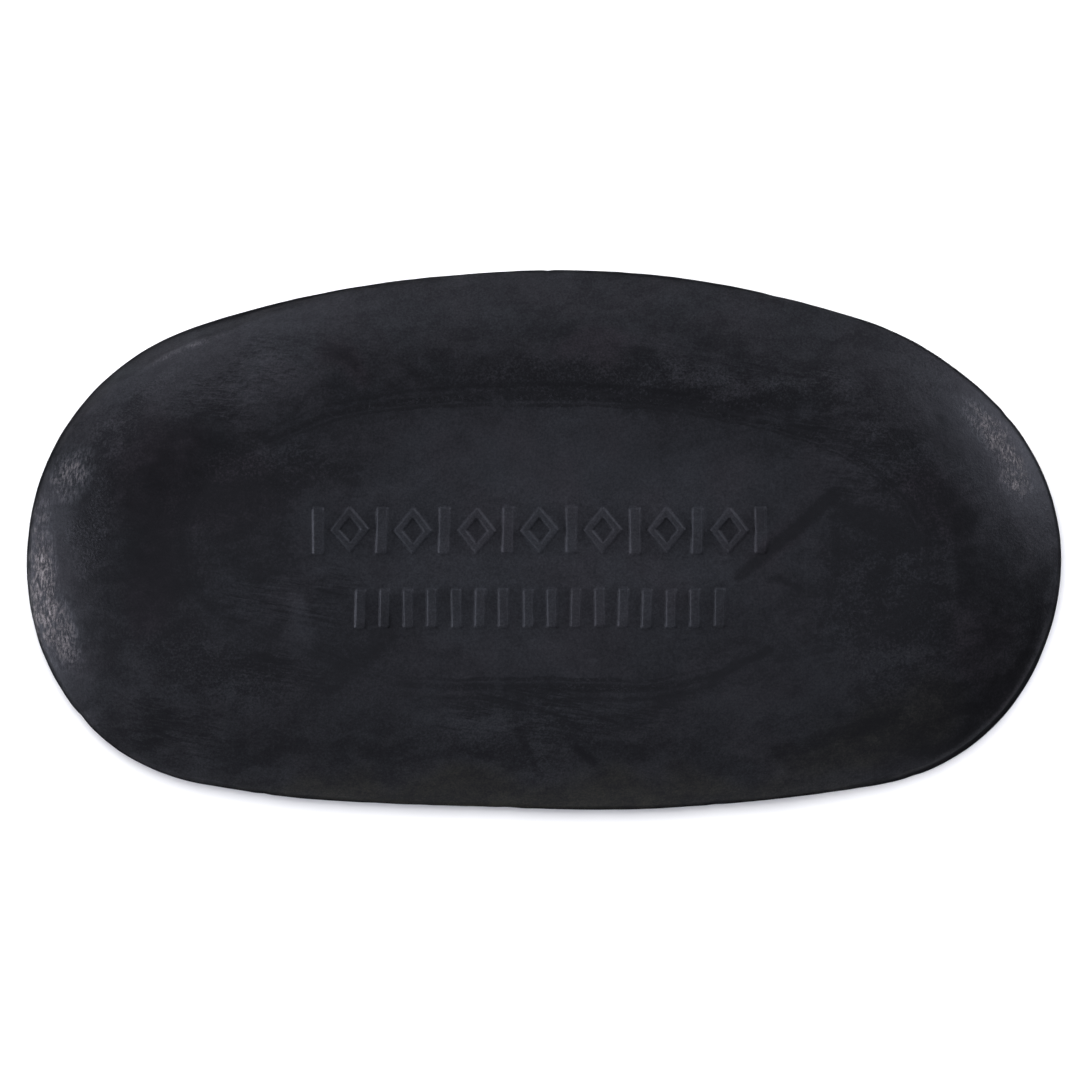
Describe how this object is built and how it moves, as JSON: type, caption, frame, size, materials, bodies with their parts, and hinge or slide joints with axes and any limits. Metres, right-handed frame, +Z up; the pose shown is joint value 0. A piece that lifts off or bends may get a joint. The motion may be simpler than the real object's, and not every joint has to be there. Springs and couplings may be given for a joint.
{
  "type": "rubber rib",
  "caption": "Oval flexible rubber rib for shaping and smoothing clay: flat back, thin rim, convex flank rising to a flat central land with plain raised marks.",
  "frame": {"origin": "under the middle of the oval's bounding box, on the flat back that the rib rests on", "axes": "+X along the rib's length, +Y across its width towards the more strongly arched side, +Z up from the flat back to the land"},
  "size_m": [0.1068, 0.0558, 0.0084],
  "materials": {
    "black_rubber": "matt moulded black rubber with grey bloom, wiped streaks and pale scuffs at the ends"
  },
  "bodies": {
    "root": {"rubber_rib": "black_rubber"}
  },
  "joints": []
}
